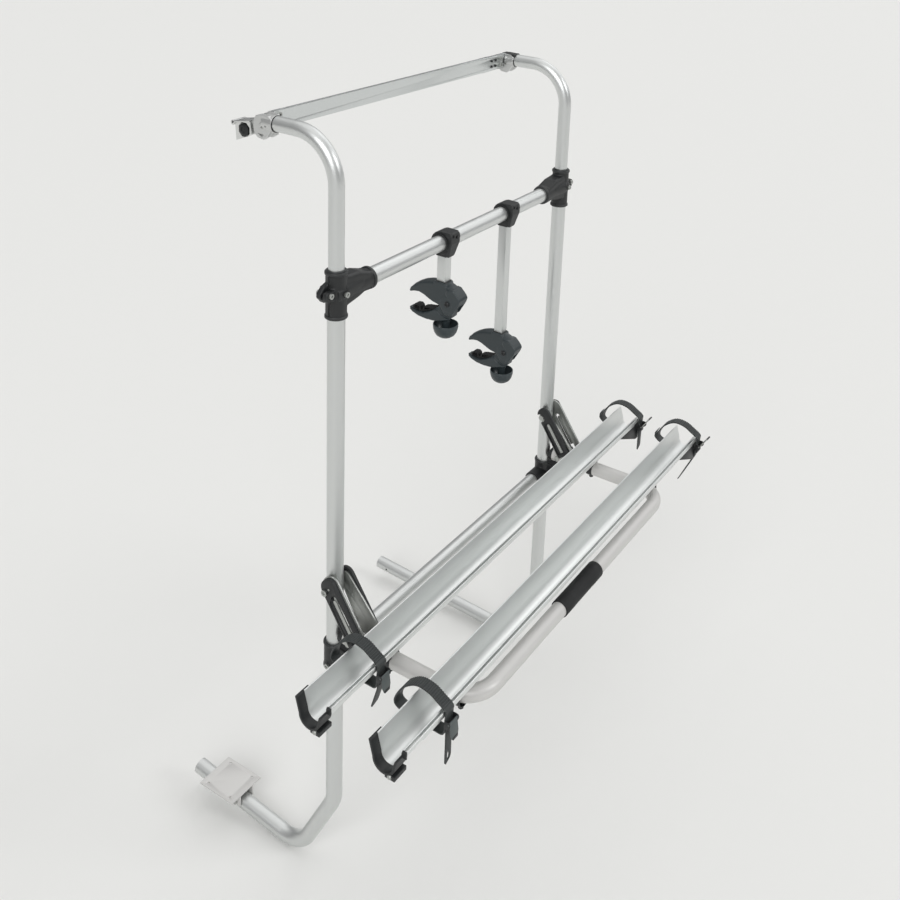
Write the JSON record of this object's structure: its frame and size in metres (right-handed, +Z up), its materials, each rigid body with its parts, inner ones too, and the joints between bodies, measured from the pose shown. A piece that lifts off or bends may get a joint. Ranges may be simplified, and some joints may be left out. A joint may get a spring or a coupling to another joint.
{
  "type": "motorhome bike rack",
  "caption": "Rear-wall bike rack: telescoping tube frame, folding platform with wheel rails, wheel straps and clamp arms.",
  "frame": {"origin": "centre of the bolt pattern on the foot plate's upper face, under the left leg", "axes": "+X across the vehicle from the left to the right upright, +Y towards the vehicle's wall, +Z up"},
  "size_m": [1.3092, 0.9475, 1.7112],
  "materials": {
    "anodised_aluminium": "satin anodised tube and rail",
    "bright_strip": "bright rolled strip and rails",
    "grey_coat": "pale grey powder coat",
    "black_plastic": "matte glass-filled plastic",
    "claw_plastic": "dark blue-grey moulded plastic",
    "zinc_steel": "zinc-plated fasteners and castings",
    "grip_rubber": "soft black sleeve",
    "strap_plastic": "flexible ribbed strap"
  },
  "bodies": {
    "frame": {"left_upright": "anodised_aluminium", "right_upright": "anodised_aluminium", "middle_crossbar": "anodised_aluminium", "lower_crossbar": "anodised_aluminium", "left_tee_clamp": "black_plastic", "right_tee_clamp": "black_plastic", "left_lower_clamp": "black_plastic", "right_lower_clamp": "black_plastic", "frame_bolts": "zinc_steel", "foot_bracket": "grey_coat"},
    "top_hoop": {"left_top_tube": "anodised_aluminium", "right_top_tube": "anodised_aluminium", "left_knuckle": "zinc_steel", "right_knuckle": "zinc_steel", "top_strip": "bright_strip", "top_bolts": "zinc_steel"},
    "left_hook_body": {"left_hook": "zinc_steel"},
    "right_hook_body": {"right_hook": "zinc_steel"},
    "left_knob_body": {"left_hook_knob": "zinc_steel"},
    "right_knob_body": {"right_hook_knob": "zinc_steel"},
    "platform": {"platform_tube": "grey_coat", "grip_sleeve": "grip_rubber", "tube_end_plugs": "black_plastic", "hinge_pins": "zinc_steel", "rail_1": "bright_strip", "rail_2": "bright_strip", "rail_end_caps": "black_plastic", "rail_saddles": "black_plastic", "platform_bolts": "zinc_steel"},
    "left_stay": {"left_stay_plates": "zinc_steel", "left_stay_cover": "black_plastic"},
    "right_stay": {"right_stay_plates": "zinc_steel", "right_stay_cover": "black_plastic"},
    "arm_1_slider": {"arm_1_bush": "black_plastic"},
    "arm_1": {"arm_1_bar_clamp": "black_plastic", "arm_1_tube": "anodised_aluminium", "claw_1_body": "claw_plastic"},
    "claw_1_lower": {"claw_1_jaw": "claw_plastic", "claw_1_pad": "black_plastic"},
    "claw_1_screw": {"claw_1_knob": "claw_plastic"},
    "arm_2_slider": {"arm_2_bush": "black_plastic"},
    "arm_2": {"arm_2_bar_clamp": "black_plastic", "arm_2_tube": "anodised_aluminium", "claw_2_body": "claw_plastic"},
    "claw_2_lower": {"claw_2_jaw": "claw_plastic", "claw_2_pad": "black_plastic"},
    "claw_2_screw": {"claw_2_knob": "claw_plastic"},
    "near_strap_1_loop": {"near_strap_1": "strap_plastic", "near_strap_1_buckle": "black_plastic"},
    "near_strap_1_catch": {"near_strap_1_lever": "zinc_steel"},
    "near_strap_2_loop": {"near_strap_2": "strap_plastic", "near_strap_2_buckle": "black_plastic"},
    "near_strap_2_catch": {"near_strap_2_lever": "zinc_steel"},
    "far_strap_1_loop": {"far_strap_1": "strap_plastic", "far_strap_1_buckle": "black_plastic"},
    "far_strap_1_catch": {"far_strap_1_lever": "zinc_steel"},
    "far_strap_2_loop": {"far_strap_2": "strap_plastic", "far_strap_2_buckle": "black_plastic"},
    "far_strap_2_catch": {"far_strap_2_lever": "zinc_steel"}
  },
  "joints": [
    {"name": "top_height", "type": "slide", "parent": "frame", "child": "top_hoop", "axis": [0, 0, 1], "range_m": [-0.15, 0.15]},
    {"name": "left_hook_tilt", "type": "hinge", "parent": "top_hoop", "child": "left_hook_body", "pos_m": [0, -0.149, 1.62014], "axis": [-1, 0, 0], "range_deg": [-25, 25]},
    {"name": "left_hook_knob_turn", "type": "hinge", "parent": "left_hook_body", "child": "left_knob_body", "pos_m": [0, -0.101, 1.60713], "axis": [1, 0, 0], "continuous": true},
    {"name": "right_hook_tilt", "type": "hinge", "parent": "top_hoop", "child": "right_hook_body", "pos_m": [0.85, -0.149, 1.62014], "axis": [-1, 0, 0], "range_deg": [-25, 25]},
    {"name": "right_hook_knob_turn", "type": "hinge", "parent": "right_hook_body", "child": "right_knob_body", "pos_m": [0.85, -0.101, 1.60713], "axis": [1, 0, 0], "continuous": true},
    {"name": "platform_fold", "type": "hinge", "parent": "frame", "child": "platform", "pos_m": [0, -0.37, 0.57313], "axis": [-1, 0, 0], "range_deg": [0, 32]},
    {"name": "left_stay_turn", "type": "hinge", "parent": "frame", "child": "left_stay", "pos_m": [0, -0.32, 0.68114], "axis": [-1, 0, 0], "range_deg": [0, 3.6]},
    {"name": "right_stay_turn", "type": "hinge", "parent": "frame", "child": "right_stay", "pos_m": [0.85, -0.32, 0.68114], "axis": [-1, 0, 0], "range_deg": [0, 3.6]},
    {"name": "arm_1_slide", "type": "slide", "parent": "frame", "child": "arm_1_slider", "axis": [1, 0, 0], "range_m": [-0.15, 0.08]},
    {"name": "arm_1_tilt", "type": "hinge", "parent": "arm_1_slider", "child": "arm_1", "pos_m": [0.351, -0.32, 1.32614], "axis": [-1, 0, 0], "range_deg": [0, 90]},
    {"name": "claw_1_open", "type": "hinge", "parent": "arm_1", "child": "claw_1_lower", "pos_m": [0.351, -0.342, 1.18914], "axis": [-1, 0, 0], "range_deg": [-12, 36]},
    {"name": "claw_1_knob_turn", "type": "hinge", "parent": "claw_1_lower", "child": "claw_1_screw", "pos_m": [0.351, -0.329, 1.12913], "axis": [0, 0, 1], "range_deg": [-260, 740]},
    {"name": "arm_2_slide", "type": "slide", "parent": "frame", "child": "arm_2_slider", "axis": [1, 0, 0], "range_m": [-0.08, 0.12]},
    {"name": "arm_2_tilt", "type": "hinge", "parent": "arm_2_slider", "child": "arm_2", "pos_m": [0.595, -0.32, 1.32614], "axis": [-1, 0, 0], "range_deg": [0, 90]},
    {"name": "claw_2_open", "type": "hinge", "parent": "arm_2", "child": "claw_2_lower", "pos_m": [0.595, -0.342, 0.97613], "axis": [-1, 0, 0], "range_deg": [-12, 36]},
    {"name": "claw_2_knob_turn", "type": "hinge", "parent": "claw_2_lower", "child": "claw_2_screw", "pos_m": [0.595, -0.329, 0.91614], "axis": [0, 0, 1], "range_deg": [-260, 740]},
    {"name": "near_strap_1_slide", "type": "slide", "parent": "platform", "child": "near_strap_1_loop", "axis": [1, 0, 0], "range_m": [-0.1, 0.02]},
    {"name": "near_strap_1_lever_turn", "type": "hinge", "parent": "near_strap_1_loop", "child": "near_strap_1_catch", "pos_m": [-0.082, -0.517, 0.62013], "axis": [-1, 0, 0], "range_deg": [0, 138]},
    {"name": "near_strap_2_slide", "type": "slide", "parent": "platform", "child": "near_strap_2_loop", "axis": [1, 0, 0], "range_m": [-0.085, 0.05]},
    {"name": "near_strap_2_lever_turn", "type": "hinge", "parent": "near_strap_2_loop", "child": "near_strap_2_catch", "pos_m": [-0.1, -0.6886, 0.62013], "axis": [-1, 0, 0], "range_deg": [0, 138]},
    {"name": "far_strap_1_slide", "type": "slide", "parent": "platform", "child": "far_strap_1_loop", "axis": [1, 0, 0], "range_m": [-0.14, 0]},
    {"name": "far_strap_1_lever_turn", "type": "hinge", "parent": "far_strap_1_loop", "child": "far_strap_1_catch", "pos_m": [1.054, -0.517, 0.62013], "axis": [1, 0, 0], "range_deg": [0, 138]},
    {"name": "far_strap_2_slide", "type": "slide", "parent": "platform", "child": "far_strap_2_loop", "axis": [1, 0, 0], "range_m": [-0.14, 0]},
    {"name": "far_strap_2_lever_turn", "type": "hinge", "parent": "far_strap_2_loop", "child": "far_strap_2_catch", "pos_m": [1.054, -0.6886, 0.62013], "axis": [1, 0, 0], "range_deg": [0, 138]}
  ],
  "couplings": [
    {"joint": "left_stay_turn", "follows": "platform_fold", "ratio": 0.11},
    {"joint": "right_stay_turn", "follows": "platform_fold", "ratio": 0.11},
    {"joint": "claw_1_knob_turn", "follows": "claw_1_open", "ratio": 20},
    {"joint": "claw_2_knob_turn", "follows": "claw_2_open", "ratio": 20}
  ]
}
